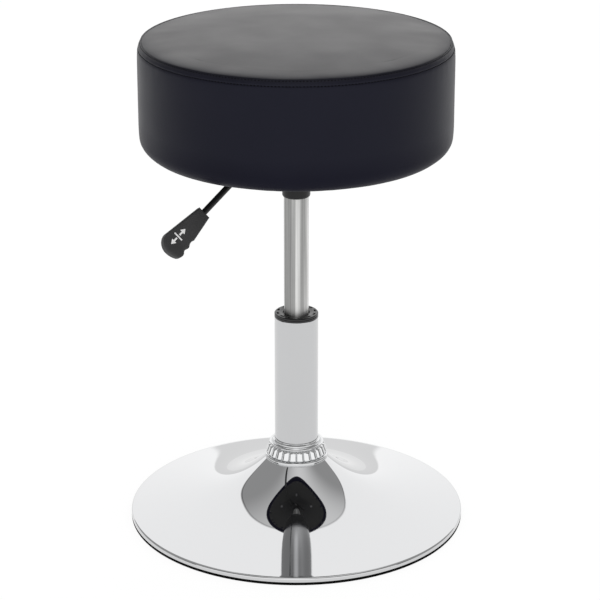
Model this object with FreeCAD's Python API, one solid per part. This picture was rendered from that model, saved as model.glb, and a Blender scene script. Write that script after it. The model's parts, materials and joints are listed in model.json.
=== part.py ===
"""Round swivel stool with a gas-lift column on a trumpet base.

Millimetres. The origin is on the floor, on the column's axis. +Z is up and -Y is the front.
The lever mechanism is drawn with the lever along +X, then turned to LEVER_AZIMUTH.
"""
import FreeCAD, Part
import math
import os

from FreeCAD import Vector

# ---------------------------------------------------------------- driving dimensions
# trumpet base: the outer surface's slope is CONE_SLOPE + FLARE_SLOPE * exp(-(r / FLARE_WIDTH)^2)
BASE_R = 193.0
SHEET = 1.5
RIM_Z = 9.0                   # height of the outer surface where the rim's round starts
CONE_SLOPE = 0.185
FLARE_SLOPE = 1.0
FLARE_WIDTH = 74.0
RIM_ROUND = 2.8
TRIM_H = 3.2
TRIM_GRIP_H = 3.0
TRIM_IN_R = 187.0

# column
TUBE_R = 25.0
TUBE_WALL = 1.8
TUBE_TOP = 243.2
SWAGE_R = 24.2
SWAGE_TOP = 78.0
TUBE_BOTTOM = 16.0
END_PLATE_T = 4.0
HUB_R = 28.5
HUB_BOTTOM = 18.0
BRACE_R = 110.0
BRACE_T = 2.5
BRACE_HOLE_R = 14.0

# collar ring at the foot of the column
COLLAR_LIP_R = 36.6
COLLAR_LIP_Z = (69.0, 75.2)
COLLAR_TOP_LIP_R = 31.4
COLLAR_TOP = 94.5
COLLAR_BAND_TOP = 87.4
LOBES = 24
LOBE_R = (3.4, 2.9)

# guide bush
FLANGE_H = 5.0
BUSH_BOTTOM = 165.0
SLOTS = 12
SLOT_R = 21.4
SLOT_WIDTH = 2.3
SLOT_DEPTH = 2.4
SLOT_DEG = 15.0
SLOT_START_DEG = 3.5

# gas spring
RUN = 0.05                    # radial running clearance
CYL_R = 14.0
CYL_BORE_R = 12.5
CYL_BOTTOM = 153.0
TAPER_START = 390.0
CYL_TOP = 418.0
TAPER_TOP_R = 12.9
ROD_R = 5.0
ROD_STUB_R = 4.0
GLAND_H = 14.0
VALVE_BOTTOM = 366.0
VALVE_HEAD_R = 9.0
PIN_FLOOR = 392.0
BUTTON_R = 4.0
BUTTON_TOP = 424.2

# thrust bearing, stacked upwards from the end plate
WASHER_T = 1.5
BALL_R = 2.0
BALL_PITCH_R = 8.5
BEARING_R = 11.5
BALLS = 10
BEARING_GAP = 0.1

# seat support
SOCKET_R = 15.8
SOCKET_BOTTOM = 386.6
SOCKET_TOP = 419.0
BRACKET_FLOOR = 412.0
BRACKET_HALF_W = 20.0
BRACKET_X = (-26.0, 34.0)
BRACKET_T = 2.0
PLATE_SIDE = 150.0
PLATE_T = 2.5
PLATE_Z = 438.8
BOLT_SPACING = 120.0
BOLT_R = 3.0

# lever
LEVER_AZIMUTH = 225.0
LEVER_Z = 428.0
LEVER_ROD_R = 3.5
PIN_X = 24.0
PIN_R = 2.0
LEVER_INNER = -6.0
BEND_X = 91.0
BEND_R = 14.0
LEVER_DROP = 30.0             # degrees below level
HANDLE_START = 58.0           # along the sloping rod, from the bend to the handle's neck
HANDLE_T = 11.0
HANDLE_ROLL = -57.0           # degrees about the rod
HANDLE_GRIP = 28.0            # rod length inside the handle

# seat
SEAT_R = 175.2
SEAT_BOTTOM = 441.8
SEAT_EDGE_Z = 569.4
SEAT_CROWN = 2.0
EDGE_TOP_R = 12.0
EDGE_BOTTOM_R = 18.0
COVER_T = 1.2
BOARD_Z = 443.2
BOARD_T = 12.0
BOARD_R = 155.8
RETURN_R = 138.0              # inner edge of the cover folded under the board
SOFT_GAP = 0.15
DUST_R = 150.0
DUST_HOLE_R = 70.0
DUST_T = 0.4
STAPLES = 24

AXIS = Vector(0, 0, 1)
ORIGIN = Vector(0, 0, 0)


# ---------------------------------------------------------------- helpers
def save(name, shape):
    if isinstance(shape, (list, tuple)):
        shape = Part.makeCompound(list(shape))
    shape.exportStep(os.path.join("parts", name + ".step"))
    print(f"{name:22s} solids {len(shape.Solids):2d}, valid {shape.isValid()}, {shape.Volume / 1000:.2f} cm3")


def point(r, z):
    return Vector(r, 0, z)


def line(a, b):
    return Part.LineSegment(point(*a), point(*b)).toShape()


def arc(a, mid, b):
    return Part.Arc(point(*a), point(*mid), point(*b)).toShape()


def corner_arc(centre, radius, start_deg, end_deg):
    """Arc in the (r, z) plane about a centre, from one angle to another."""
    ends = []
    for deg in (start_deg, (start_deg + end_deg) / 2, end_deg):
        a = math.radians(deg)
        ends.append((centre[0] + radius * math.cos(a), centre[1] + radius * math.sin(a)))
    return arc(*ends), ends[0], ends[2]


def spun(edges):
    return Part.Face(Part.Wire(Part.__sortEdges__(edges))).revolve(ORIGIN, AXIS, 360)


def spun_polygon(points):
    """Solid of revolution of a closed straight-sided outline of (r, z) points."""
    corners = [point(*p) for p in points]
    return Part.Face(Part.makePolygon(corners + corners[:1])).revolve(ORIGIN, AXIS, 360)


def rod(r, z0, z1, x=0.0, y=0.0):
    return Part.makeCylinder(r, z1 - z0, Vector(x, y, z0), AXIS)


def ring(outer, inner, z0, z1, x=0.0, y=0.0):
    return rod(outer, z0, z1, x, y).cut(rod(inner, z0, z1, x, y))


def cross_rod(r, x, z, half_length):
    """Cylinder along Y, centred on Y = 0."""
    return Part.makeCylinder(r, 2 * half_length, Vector(x, -half_length, z), Vector(0, 1, 0))


def turned(shape, degrees):
    copy = shape.copy()
    copy.rotate(ORIGIN, AXIS, degrees)
    return copy


def corners(spacing):
    half = spacing / 2
    return [(sx * half, sy * half) for sx in (-1, 1) for sy in (-1, 1)]


def on_mechanism(shape):
    return turned(shape, LEVER_AZIMUTH)


def flare_slope(r):
    return CONE_SLOPE + FLARE_SLOPE * math.exp(-(r / FLARE_WIDTH) ** 2)


def flare_z(r):
    """Height of the outer surface: the slope summed inward from the rim."""
    rim = BASE_R - RIM_ROUND
    bell = FLARE_SLOPE * FLARE_WIDTH * math.sqrt(math.pi) / 2
    return RIM_Z + CONE_SLOPE * (rim - r) + bell * (math.erf(rim / FLARE_WIDTH) - math.erf(r / FLARE_WIDTH))


# ---------------------------------------------------------------- base
def flare_curve(r_in, r_out, depth, steps=14):
    """The flare's curve, moved inward along its normal by depth."""
    points = []
    for i in range(steps + 1):
        r = r_in + (r_out - r_in) * i / steps
        slope = flare_slope(r)
        scale = depth / math.hypot(1, slope)
        points.append(point(r - slope * scale, flare_z(r) - scale))
    curve = Part.BSplineCurve()
    curve.interpolate(points)
    return curve.toShape(), (points[0].x, points[0].z), (points[-1].x, points[-1].z)


def base_dish():
    edge = BASE_R - RIM_ROUND
    outer, neck_top, outer_end = flare_curve(HUB_R, edge, 0)
    inner, neck_low, inner_end = flare_curve(HUB_R + 1.6, edge, SHEET)
    wall_top = flare_z(edge) - RIM_ROUND
    round_out, _, wall_out = corner_arc((edge, wall_top), RIM_ROUND, 90, 0)
    wall_in = (BASE_R - SHEET, wall_top)
    foot_in, foot_out = (BASE_R - SHEET, TRIM_H), (BASE_R, TRIM_H)
    neck_foot = (HUB_R, neck_low[1])
    edges = [outer, round_out, line(wall_out, foot_out), line(foot_out, foot_in), line(foot_in, wall_in),
             line(wall_in, inner_end), inner, line(neck_low, neck_foot), line(neck_foot, neck_top)]
    return spun(edges)


def rim_trim_ring():
    grip_out = BASE_R - SHEET - SOFT_GAP
    grip_top = TRIM_H + TRIM_GRIP_H
    return spun_polygon([(TRIM_IN_R, 0), (BASE_R - 0.4, 0), (BASE_R, 0.4), (BASE_R, TRIM_H),
                         (grip_out, TRIM_H), (grip_out, grip_top), (TRIM_IN_R + 2, grip_top),
                         (TRIM_IN_R, TRIM_H)])


def swage_r(z):
    return SWAGE_R + (TUBE_R - SWAGE_R) * (z - TUBE_BOTTOM) / (SWAGE_TOP - TUBE_BOTTOM)


def hub_sleeve():
    top = SWAGE_TOP
    return spun_polygon([(swage_r(HUB_BOTTOM), HUB_BOTTOM), (HUB_R, HUB_BOTTOM), (HUB_R, top - 1),
                         (HUB_R - 1, top), (TUBE_R, top)])


def base_brace_plate():
    bottom = flare_z(BRACE_R) - SHEET - BRACE_T - 1.6
    top = bottom + BRACE_T
    pitch = (BRACE_R + HUB_R) / 2
    holes = [turned(rod(BRACE_HOLE_R, bottom - 1, top + 1, pitch), 60 * i) for i in range(6)]
    return ring(BRACE_R, HUB_R, bottom, top).cut(holes)


def column_tube():
    inner = TUBE_R - TUBE_WALL
    return spun_polygon([(SWAGE_R - TUBE_WALL, TUBE_BOTTOM), (SWAGE_R, TUBE_BOTTOM), (TUBE_R, SWAGE_TOP),
                         (TUBE_R, TUBE_TOP), (inner, TUBE_TOP), (inner, SWAGE_TOP)])


def tube_end_plate():
    bore = ROD_STUB_R + RUN
    r_low = SWAGE_R - TUBE_WALL
    r_high = swage_r(TUBE_BOTTOM + END_PLATE_T) - TUBE_WALL
    return spun_polygon([(bore, TUBE_BOTTOM), (r_low, TUBE_BOTTOM), (r_high, TUBE_BOTTOM + END_PLATE_T),
                         (bore, TUBE_BOTTOM + END_PLATE_T)])


def collar_outline():
    """Outside of the collar without its lobes: lower lip, leaning band, upper lip, bead at the tube."""
    low, high = COLLAR_LIP_Z
    lip, top_lip, band_top = COLLAR_LIP_R, COLLAR_TOP_LIP_R, COLLAR_BAND_TOP
    bead = TUBE_R + 1.4
    return [(0, low), (lip - 0.8, low), (lip, low + 0.8), (lip, high - 1.6), (lip - 1.6, high),
            (lip - 3.4, high + 0.3), (top_lip - 2.6, band_top - 0.3), (top_lip - 0.7, band_top),
            (top_lip, band_top + 0.9), (top_lip - 0.7, band_top + 2.0), (top_lip - 2.4, band_top + 2.4),
            (top_lip - 3.2, band_top + 1.2), (top_lip - 3.8, band_top + 1.2),
            (top_lip - 3.8, COLLAR_TOP - 3.3), (bead, COLLAR_TOP - 2.1), (bead, COLLAR_TOP - 0.5),
            (bead - 0.4, COLLAR_TOP), (0, COLLAR_TOP)]


def collar_hollow():
    """Space inside the collar: it clears the tube, the hub and the flare."""
    bore, low = TUBE_R + 0.2, COLLAR_LIP_Z[0] - 9
    hub, hub_top = HUB_R + 0.6, SWAGE_TOP + 1.0
    over_flare = [(COLLAR_LIP_R + step, flare_z(COLLAR_LIP_R + step) + 0.15) for step in (6, 3, 0, -1.5, -3)]
    return [(0, low), (over_flare[0][0], low)] + over_flare + [
        (hub, hub_top), (bore, hub_top + 4), (bore, COLLAR_TOP + 1), (0, COLLAR_TOP + 1)]


def collar_lobe():
    low = point(COLLAR_LIP_R - 4.2, COLLAR_LIP_Z[1] + 0.6)
    high = point(COLLAR_TOP_LIP_R - 2.6, COLLAR_BAND_TOP - 0.2)
    lean = high - low
    lobe = Part.makeCone(LOBE_R[0], LOBE_R[1], lean.Length, low, lean)
    return lobe.common(rod(COLLAR_LIP_R, COLLAR_LIP_Z[1] - 0.4, COLLAR_BAND_TOP + 0.6))


def collar_ring():
    lobe = collar_lobe()
    lobes = [turned(lobe, 360 / LOBES * i) for i in range(LOBES)]
    solid = spun_polygon(collar_outline()).multiFuse(lobes)
    return solid.cut(spun_polygon(collar_hollow())).removeSplitter()


def arc_slot(top):
    low, half = top - SLOT_DEPTH, SLOT_WIDTH / 2
    outline = [point(SLOT_R - half, low), point(SLOT_R + half, low), point(SLOT_R + half, top + 1),
               point(SLOT_R - half, top + 1)]
    return Part.Face(Part.makePolygon(outline + outline[:1])).revolve(ORIGIN, AXIS, SLOT_DEG)


def guide_bush():
    top = TUBE_TOP + FLANGE_H
    bore = CYL_R + RUN
    fit = TUBE_R - TUBE_WALL
    waist = fit - 3.0
    bead = FLANGE_H / 2 - 0.4
    groove = TUBE_R - 0.8
    outline = [(bore, BUSH_BOTTOM), (fit, BUSH_BOTTOM), (fit, BUSH_BOTTOM + 14), (waist, BUSH_BOTTOM + 18),
               (waist, TUBE_TOP - 24), (fit, TUBE_TOP - 20), (fit, TUBE_TOP), (TUBE_R, TUBE_TOP),
               (TUBE_R, TUBE_TOP + bead), (groove, TUBE_TOP + bead + 0.3), (groove, TUBE_TOP + bead + 0.5),
               (TUBE_R, TUBE_TOP + bead + 0.8), (TUBE_R, top - 0.9), (TUBE_R - 0.9, top), (19.4, top),
               (15.6, top - 0.7), (15.0, top - 2.2), (bore, top - 2.2)]
    bush = spun_polygon(outline)
    return bush.cut([turned(arc_slot(top), 360 / SLOTS * i + SLOT_START_DEG) for i in range(SLOTS)])


# ---------------------------------------------------------------- swivelling spindle
BEARING_Z = TUBE_BOTTOM + END_PLATE_T
BALL_Z = BEARING_Z + WASHER_T + BEARING_GAP + BALL_R
UPPER_WASHER_Z = BALL_Z + BALL_R
SHOULDER_Z = UPPER_WASHER_Z + WASHER_T
PISTON_Z = CYL_BOTTOM + GLAND_H + 1.0
PISTON_H = 12.0
ROD_BOTTOM = 8.0
CLIP_Z = 11.6


def bearing_lower_washer():
    return ring(BEARING_R, ROD_STUB_R + 0.4, BEARING_Z, BEARING_Z + WASHER_T)


def bearing_upper_washer():
    return ring(BEARING_R, ROD_STUB_R, UPPER_WASHER_Z, SHOULDER_Z)


def ball_places():
    steps = [math.radians(360 / BALLS * i) for i in range(BALLS)]
    return [Vector(BALL_PITCH_R * math.cos(a), BALL_PITCH_R * math.sin(a), BALL_Z) for a in steps]


def bearing_balls():
    return [Part.makeSphere(BALL_R, place) for place in ball_places()]


def bearing_cage():
    half = 0.6
    cage = ring(BEARING_R - 0.3, ROD_STUB_R + 0.5, BALL_Z - half, BALL_Z + half)
    return cage.cut([rod(BALL_R + 0.05, BALL_Z - 2, BALL_Z + 2, p.x, p.y) for p in ball_places()])


def piston_rod():
    stub, top = ROD_STUB_R, PISTON_Z + PISTON_H
    neck = stub - 0.8
    return spun_polygon([(0, ROD_BOTTOM), (stub - 0.6, ROD_BOTTOM), (stub, ROD_BOTTOM + 0.6), (stub, CLIP_Z),
                         (neck, CLIP_Z), (neck, CLIP_Z + 1.2), (stub, CLIP_Z + 1.2), (stub, SHOULDER_Z),
                         (ROD_R, SHOULDER_Z), (ROD_R, PISTON_Z), (stub, PISTON_Z), (stub, top), (0, top)])


def piston_head():
    outer = CYL_BORE_R - RUN
    groove = outer - 2.0
    low, high = PISTON_Z + 4.5, PISTON_Z + 7.5
    top = PISTON_Z + PISTON_H
    return spun_polygon([(ROD_STUB_R, PISTON_Z), (outer, PISTON_Z), (outer, low), (groove, low),
                         (groove, high), (outer, high), (outer, top), (ROD_STUB_R, top)])


def piston_seal():
    outer = CYL_BORE_R - RUN
    return ring(outer, outer - 2.0, PISTON_Z + 4.5, PISTON_Z + 7.5)


def bump_stop():
    low, top = SHOULDER_Z, SHOULDER_Z + 5
    return spun_polygon([(ROD_R, low), (BEARING_R, low), (BEARING_R, low + 2), (BEARING_R - 2, top),
                         (ROD_R, top)])


def rod_washer():
    return ring(10.0, ROD_STUB_R, CLIP_Z + 1.3, TUBE_BOTTOM - 0.3)


def rod_clip():
    clip = ring(7.0, ROD_STUB_R - 0.8, CLIP_Z + 0.05, CLIP_Z + 1.15)
    gap = Part.makeBox(10, 4.5, 4, Vector(0, -2.25, CLIP_Z - 1))
    return clip.cut(gap)


# ---------------------------------------------------------------- gas cylinder
def taper_r(z):
    return CYL_R + (TAPER_TOP_R - CYL_R) * (z - TAPER_START) / (CYL_TOP - TAPER_START)


def gas_cylinder():
    head, roll = VALVE_HEAD_R, VALVE_BOTTOM + 8
    return spun_polygon([(CYL_BORE_R, CYL_BOTTOM), (CYL_R - 0.8, CYL_BOTTOM), (CYL_R, CYL_BOTTOM + 0.8),
                         (CYL_R, TAPER_START), (TAPER_TOP_R, CYL_TOP), (head, CYL_TOP), (head, roll + 3.5),
                         (CYL_BORE_R, roll)])


def cylinder_gland():
    low = CYL_BOTTOM + 0.5
    return spun_polygon([(ROD_R + RUN, low), (CYL_BORE_R, low), (CYL_BORE_R, CYL_BOTTOM + GLAND_H),
                         (ROD_R + RUN, CYL_BOTTOM + GLAND_H)])


def valve_block():
    head, roll = VALVE_HEAD_R, VALVE_BOTTOM + 8
    bore = BUTTON_R + RUN
    return spun_polygon([(0, VALVE_BOTTOM), (CYL_BORE_R, VALVE_BOTTOM), (CYL_BORE_R, roll),
                         (head, roll + 3.5), (head, CYL_TOP), (bore, CYL_TOP), (bore, PIN_FLOOR),
                         (0, PIN_FLOOR)])


def release_button():
    low = PIN_FLOOR + 4.0
    dome_r = 2 * BUTTON_R
    dome, _, (_, shoulder) = corner_arc((0, BUTTON_TOP - dome_r), dome_r, 90, 60)
    edges = [line((0, low), (BUTTON_R, low)), line((BUTTON_R, low), (BUTTON_R, shoulder)), dome,
             line((0, BUTTON_TOP), (0, low))]
    return spun(edges)


# ---------------------------------------------------------------- seat support
def taper_socket():
    chamfer = 2.2
    return spun_polygon([(CYL_R, SOCKET_BOTTOM), (SOCKET_R - chamfer + 0.6, SOCKET_BOTTOM),
                         (SOCKET_R - 0.5, SOCKET_BOTTOM + 0.8), (SOCKET_R, SOCKET_BOTTOM + chamfer),
                         (SOCKET_R, SOCKET_TOP), (taper_r(CYL_TOP), SOCKET_TOP), (taper_r(CYL_TOP), CYL_TOP),
                         (CYL_R, TAPER_START)])


def lever_bracket():
    x0, x1 = BRACKET_X
    height = PLATE_Z - BRACKET_FLOOR
    box = Part.makeBox(x1 - x0, 2 * BRACKET_HALF_W, height, Vector(x0, -BRACKET_HALF_W, BRACKET_FLOOR))
    half_in = BRACKET_HALF_W - BRACKET_T
    inside = Part.makeBox(x1 - x0, 2 * half_in, height, Vector(x0, -half_in, BRACKET_FLOOR + BRACKET_T))
    bracket = box.cut(inside)
    bracket = bracket.cut(rod(SOCKET_R, BRACKET_FLOOR - 1, BRACKET_FLOOR + BRACKET_T + 1))
    return on_mechanism(bracket.cut(cross_rod(PIN_R, PIN_X, LEVER_Z, BRACKET_HALF_W + 1)))


def lever_pin():
    head_t, head_r = 1.5, 3.4
    pin = cross_rod(PIN_R, PIN_X, LEVER_Z, BRACKET_HALF_W + head_t)
    for y in (-BRACKET_HALF_W - head_t, BRACKET_HALF_W):
        pin = pin.fuse(Part.makeCylinder(head_r, head_t, Vector(PIN_X, y, LEVER_Z), Vector(0, 1, 0)))
    return on_mechanism(pin)


def seat_plate():
    half, corner_r = PLATE_SIDE / 2, 14.0
    plate = Part.makeBox(PLATE_SIDE, PLATE_SIDE, PLATE_T, Vector(-half, -half, PLATE_Z))
    upright = [e for e in plate.Edges if abs(e.tangentAt(e.FirstParameter).z) > 0.9]
    plate = plate.makeFillet(corner_r, upright)
    holes = [rod(BOLT_R + 0.3, PLATE_Z - 1, PLATE_Z + PLATE_T + 1, x, y) for x, y in corners(BOLT_SPACING)]
    return on_mechanism(plate.cut(holes))


WASHER_Z = PLATE_Z - 1.2
HEAD_H = 3.6


def plate_bolts():
    bolts = []
    for x, y in corners(BOLT_SPACING):
        head = rod(6.0, WASHER_Z - HEAD_H, WASHER_Z, x, y)
        bottom_rim = [e for e in head.Edges if e.BoundBox.ZMax < WASHER_Z - HEAD_H + 0.1]
        head = head.makeFillet(1.8, bottom_rim)
        drive = hexagon(2.0, WASHER_Z - HEAD_H - 0.1, 2.2, x, y)
        bolts.append(head.fuse(rod(BOLT_R, WASHER_Z, BOARD_Z + BOARD_T - 1.5, x, y)).cut(drive))
    return [on_mechanism(b) for b in bolts]


def hexagon(r, z, height, x=0.0, y=0.0):
    turns = [math.radians(60 * i) for i in range(7)]
    places = [Vector(x + r * math.cos(a), y + r * math.sin(a), z) for a in turns]
    return Part.Face(Part.makePolygon(places)).extrude(Vector(0, 0, height))


def plate_washers():
    rings = [ring(7.5, BOLT_R, WASHER_Z, PLATE_Z, x, y) for x, y in corners(BOLT_SPACING)]
    return [on_mechanism(w) for w in rings]


TEE_R = 4.2
TEE_FLANGE_R = 9.5
TEE_FLANGE_T = 1.2


def tee_nuts():
    top = BOARD_Z + BOARD_T
    nuts = []
    for x, y in corners(BOLT_SPACING):
        barrel = ring(TEE_R, BOLT_R, top - 9.5, top, x, y)
        flange = ring(TEE_FLANGE_R, BOLT_R, top - TEE_FLANGE_T, top, x, y)
        nuts.append(on_mechanism(barrel.fuse(flange).removeSplitter()))
    return nuts


# ---------------------------------------------------------------- lever
def slope_vector():
    a = math.radians(LEVER_DROP)
    return Vector(math.cos(a), 0, -math.sin(a))


def neck_point():
    return Vector(BEND_X, 0, LEVER_Z) + slope_vector() * HANDLE_START


def lever_rod():
    along, down = Vector(1, 0, 0), slope_vector()
    trim = BEND_R * math.tan(math.radians(LEVER_DROP / 2))
    vertex = Vector(BEND_X, 0, LEVER_Z)
    start = Vector(LEVER_INNER, 0, LEVER_Z)
    before, after = vertex - along * trim, vertex + down * trim
    centre = before - Vector(0, 0, BEND_R)
    half = math.radians(90 - LEVER_DROP / 2)
    middle = centre + Vector(math.cos(half), 0, math.sin(half)) * BEND_R
    end = neck_point() + down * HANDLE_GRIP
    path = Part.Wire([Part.LineSegment(start, before).toShape(), Part.Arc(before, middle, after).toShape(),
                      Part.LineSegment(after, end).toShape()])
    section = Part.Wire(Part.makeCircle(LEVER_ROD_R, start, along))
    bar = path.makePipeShell([section], True, False)
    eye = cross_rod(5.5, PIN_X, LEVER_Z, 6.0)
    return on_mechanism(bar.fuse(eye).cut(cross_rod(PIN_R + RUN, PIN_X, LEVER_Z, 8.0)))


def handle_outline():
    """Side view of the paddle: x runs away from the neck, y is positive on the finger side."""
    def p(x, y):
        return Vector(x, y, 0)
    back = Part.BSplineCurve()
    back.interpolate([p(46.50, -13.91), p(54.87, -12.63), p(61.38, -4.82), p(61.85, 3.94),
                      p(59.05, 11.55)])
    tip = Part.Arc(p(59.05, 11.55), p(55.34, 14.79), p(50.22, 14.53)).toShape()
    notch_far = Part.Arc(p(50.22, 14.53), p(46.69, 12.60), p(43.25, 13.65)).toShape()
    bump = Part.Arc(p(43.25, 13.65), p(41.29, 13.91), p(39.62, 13.12)).toShape()
    notch_near = Part.Arc(p(39.62, 13.12), p(35.90, 11.64), p(31.16, 12.60)).toShape()
    front = Part.makePolygon([p(31.16, 12.60), p(0.00, 7.80), p(0.00, -7.80), p(46.50, -13.91)])
    return Part.Wire(front.Edges + [back.toShape(), tip, notch_far, bump, notch_near])


def lever_handle():
    outline = handle_outline()
    paddle = Part.Face(outline).extrude(Vector(0, 0, HANDLE_T))
    paddle.translate(Vector(0, 0, -HANDLE_T / 2))
    flat_edges = [e for e in paddle.Edges if abs(abs(e.BoundBox.Center.z) - HANDLE_T / 2) < 0.01
                  and e.BoundBox.ZLength < 0.01]
    paddle = paddle.makeFillet(2.2, flat_edges)
    socket = Part.makeCylinder(LEVER_ROD_R, HANDLE_GRIP, ORIGIN, Vector(1, 0, 0))
    paddle = paddle.cut(socket)
    paddle.rotate(ORIGIN, Vector(1, 0, 0), HANDLE_ROLL)
    paddle.rotate(ORIGIN, Vector(0, 1, 0), LEVER_DROP)
    paddle.translate(neck_point())
    return on_mechanism(paddle)


# ---------------------------------------------------------------- seat
SEAM_DEG = 54.0


def seat_skin(depth):
    """Edges of the cushion's outer surface, moved inward by depth."""
    top_c = (SEAT_R - EDGE_TOP_R, SEAT_EDGE_Z - EDGE_TOP_R)
    low_c = (SEAT_R - EDGE_BOTTOM_R, SEAT_BOTTOM + EDGE_BOTTOM_R)
    apex = (0, SEAT_EDGE_Z + SEAT_CROWN - depth)
    shoulder = (top_c[0], SEAT_EDGE_Z - depth)
    half_r = top_c[0] / 2
    crown = arc(apex, (half_r, SEAT_EDGE_Z + 0.75 * SEAT_CROWN - depth), shoulder)
    upper, _, seam = corner_arc(top_c, EDGE_TOP_R - depth, 90, SEAM_DEG)
    lower, _, side_top = corner_arc(top_c, EDGE_TOP_R - depth, SEAM_DEG, 0)
    bottom, side_low, foot = corner_arc(low_c, EDGE_BOTTOM_R - depth, 0, -90)
    side = line(side_top, side_low)
    return {"apex": apex, "crown": crown, "upper": upper, "seam": seam, "lower": lower, "side": side,
            "bottom": bottom, "foot": foot}


def cover_top_panel():
    out, inn = seat_skin(0), seat_skin(COVER_T)
    return spun([out["crown"], out["upper"], line(out["seam"], inn["seam"]), inn["upper"], inn["crown"],
                 line(inn["apex"], out["apex"])])


def cover_side_band():
    out, inn = seat_skin(0), seat_skin(COVER_T)
    fold_low, fold_high = (RETURN_R, SEAT_BOTTOM), (RETURN_R, SEAT_BOTTOM + COVER_T)
    outside = [out["lower"], out["side"], out["bottom"], line(out["foot"], fold_low)]
    inside = [line(fold_high, inn["foot"]), inn["bottom"], inn["side"], inn["lower"]]
    return spun(outside + [line(fold_low, fold_high)] + inside + [line(inn["seam"], out["seam"])])


def seat_board():
    top = BOARD_Z + BOARD_T
    board = rod(BOARD_R, BOARD_Z, top)
    for x, y in corners(BOLT_SPACING):
        hole = rod(TEE_R, BOARD_Z - 1, top + 1, x, y)
        rebate = rod(TEE_FLANGE_R, top - TEE_FLANGE_T, top + 1, x, y)
        board = board.cut(on_mechanism(hole.fuse(rebate)))
    return board


def seat_foam():
    skin = seat_skin(COVER_T + SOFT_GAP)
    top = BOARD_Z + BOARD_T + SOFT_GAP
    foot = skin["foot"]
    return spun([skin["crown"], skin["upper"], skin["lower"], skin["side"], skin["bottom"],
                 line(foot, (foot[0], top)), line((foot[0], top), (0, top)), line((0, top), skin["apex"])])


def dust_cover():
    top = SEAT_BOTTOM - 0.02
    bottom = top - DUST_T
    cloth = ring(DUST_R, DUST_HOLE_R, bottom, top)
    holes = [on_mechanism(rod(BOLT_R + 0.3, bottom - 1, top + 1, x, y)) for x, y in corners(BOLT_SPACING)]
    return cloth.cut(holes)


def dust_cover_staples():
    wire, crown = 0.7, 9.0
    top = SEAT_BOTTOM - 0.02 - DUST_T
    bar = Part.makeBox(wire, crown, wire, Vector(DUST_R - 6, -crown / 2, top - wire))
    return [turned(bar, 360 / STAPLES * i + 4) for i in range(STAPLES)]


NODES = [
    base_dish, rim_trim_ring, hub_sleeve, base_brace_plate, column_tube, tube_end_plate, collar_ring,
    guide_bush, bearing_lower_washer, bearing_upper_washer, bearing_balls, bearing_cage, piston_rod,
    piston_head, piston_seal, bump_stop, rod_washer, rod_clip, gas_cylinder, cylinder_gland, valve_block,
    release_button, taper_socket, lever_bracket, lever_pin, seat_plate, plate_bolts, plate_washers,
    tee_nuts, lever_rod, lever_handle, cover_top_panel, cover_side_band, seat_board, seat_foam,
    dust_cover, dust_cover_staples,
]

os.makedirs("parts", exist_ok=True)
for make in NODES:
    save(make.__name__, make())
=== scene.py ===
"""Looks for the round swivel stool. Metres, in the CAD model's frame: floor at z = 0, front at -Y."""
import bpy
import json
import math
import random
from mathutils import Matrix, Vector, noise
from mathutils.bvhtree import BVHTree


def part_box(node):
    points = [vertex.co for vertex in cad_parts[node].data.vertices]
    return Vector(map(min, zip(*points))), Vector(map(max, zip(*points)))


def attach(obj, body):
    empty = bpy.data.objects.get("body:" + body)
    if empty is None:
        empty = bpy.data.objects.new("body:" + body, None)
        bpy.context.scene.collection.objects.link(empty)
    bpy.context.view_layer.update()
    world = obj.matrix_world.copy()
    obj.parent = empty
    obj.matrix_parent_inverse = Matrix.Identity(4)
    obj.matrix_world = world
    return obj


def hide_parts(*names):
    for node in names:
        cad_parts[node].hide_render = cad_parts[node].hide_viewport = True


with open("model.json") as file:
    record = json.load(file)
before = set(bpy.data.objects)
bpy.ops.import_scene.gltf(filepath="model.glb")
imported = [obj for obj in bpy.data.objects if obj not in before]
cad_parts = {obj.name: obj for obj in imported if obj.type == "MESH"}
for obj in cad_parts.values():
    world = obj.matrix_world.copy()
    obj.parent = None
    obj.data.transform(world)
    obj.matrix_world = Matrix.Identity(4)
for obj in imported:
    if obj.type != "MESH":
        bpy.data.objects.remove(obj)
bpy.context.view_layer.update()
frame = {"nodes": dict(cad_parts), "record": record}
NODES = frame["nodes"]
MM = 0.001

# ---------------------------------------------------------------- sizes read from the frame
BASE_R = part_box("base_dish")[1].x
SEAT_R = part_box("cover_side_band")[1].x
SEAT_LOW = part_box("cover_side_band")[0].z
TOP_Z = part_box("cover_top_panel")[1].z
TUBE_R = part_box("column_tube")[1].x
TUBE_LOW, TUBE_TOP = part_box("column_tube")[0].z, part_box("column_tube")[1].z
CYL_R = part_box("gas_cylinder")[1].x
CYL_LOW, CYL_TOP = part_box("gas_cylinder")[0].z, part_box("gas_cylinder")[1].z

# trumpet base: the slope is CONE_SLOPE + FLARE_SLOPE * exp(-(r / FLARE_WIDTH)^2)
RIM_Z, CONE_SLOPE, FLARE_SLOPE, FLARE_WIDTH = 9.0 * MM, 0.185, 1.0, 74 * MM
SHEET = 1.5 * MM
RIM_ROUND = 2.8 * MM
HUB_R = 28.5 * MM
TRIM_H = 3.2 * MM

# camera: place, tilt up from straight down in degrees, focal length in mm on a 36 mm sensor
CAMERA_PLACE, CAMERA_TILT, CAMERA_LENS = (0.00415, -2.43236, 1.16803), 69.577, 137.06

# studio: how high and wide each part of the room looks from the stool, and how bright it is
BACKDROP_RISE, BACKDROP_LEFT, BACKDROP_RIGHT = 1.6, 0.84, 1.18
BACKDROP, GREY, DARK, DARK_RISE = 1.30, 0.40, 0.08, 1.2
SWEEP_RISE, SWEEP = 0.10, 0.93
# soft panels in front: (sideways, half width, rise, half height, softness, strength)
PANELS = [(0.0, 2.6, 0.25, 0.35, 0.10, 1.25), (-0.06, 0.26, 1.0, 0.50, 0.20, 0.60)]
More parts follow.
